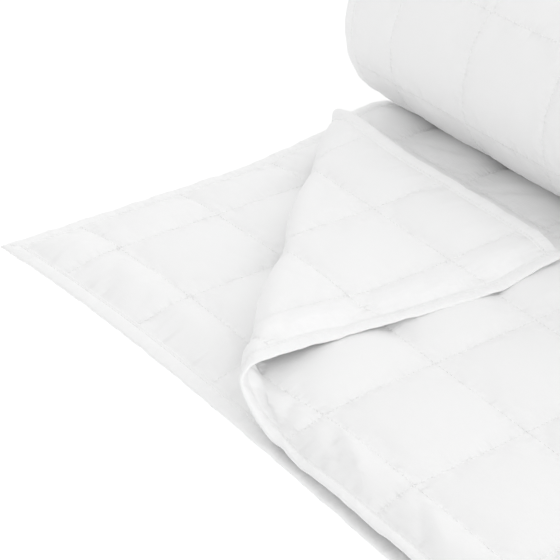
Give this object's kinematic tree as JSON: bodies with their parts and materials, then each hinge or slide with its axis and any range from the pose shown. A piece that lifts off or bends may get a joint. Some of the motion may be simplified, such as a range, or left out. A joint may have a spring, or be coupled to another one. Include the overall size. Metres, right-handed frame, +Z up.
{
  "type": "duvet",
  "caption": "Light square-quilted duvet with bound edges, folded lengthwise in half, partly rolled up, its near upper corner turned back.",
  "frame": {"origin": "middle of the part's bounding box on the surface it lies on", "axes": "+Z up; +X across the folded duvet, from its open bound edges to its lengthwise fold; +Y from its near end to the roll"},
  "size_m": [0.6852, 0.6132, 0.2361],
  "materials": {
    "quilted_cloth": "matte, fine plain weave",
    "binding_tape": "matte, fine plain weave"
  },
  "bodies": {
    "root": {"duvet": "quilted_cloth", "edge_binding": "binding_tape"}
  },
  "joints": []
}
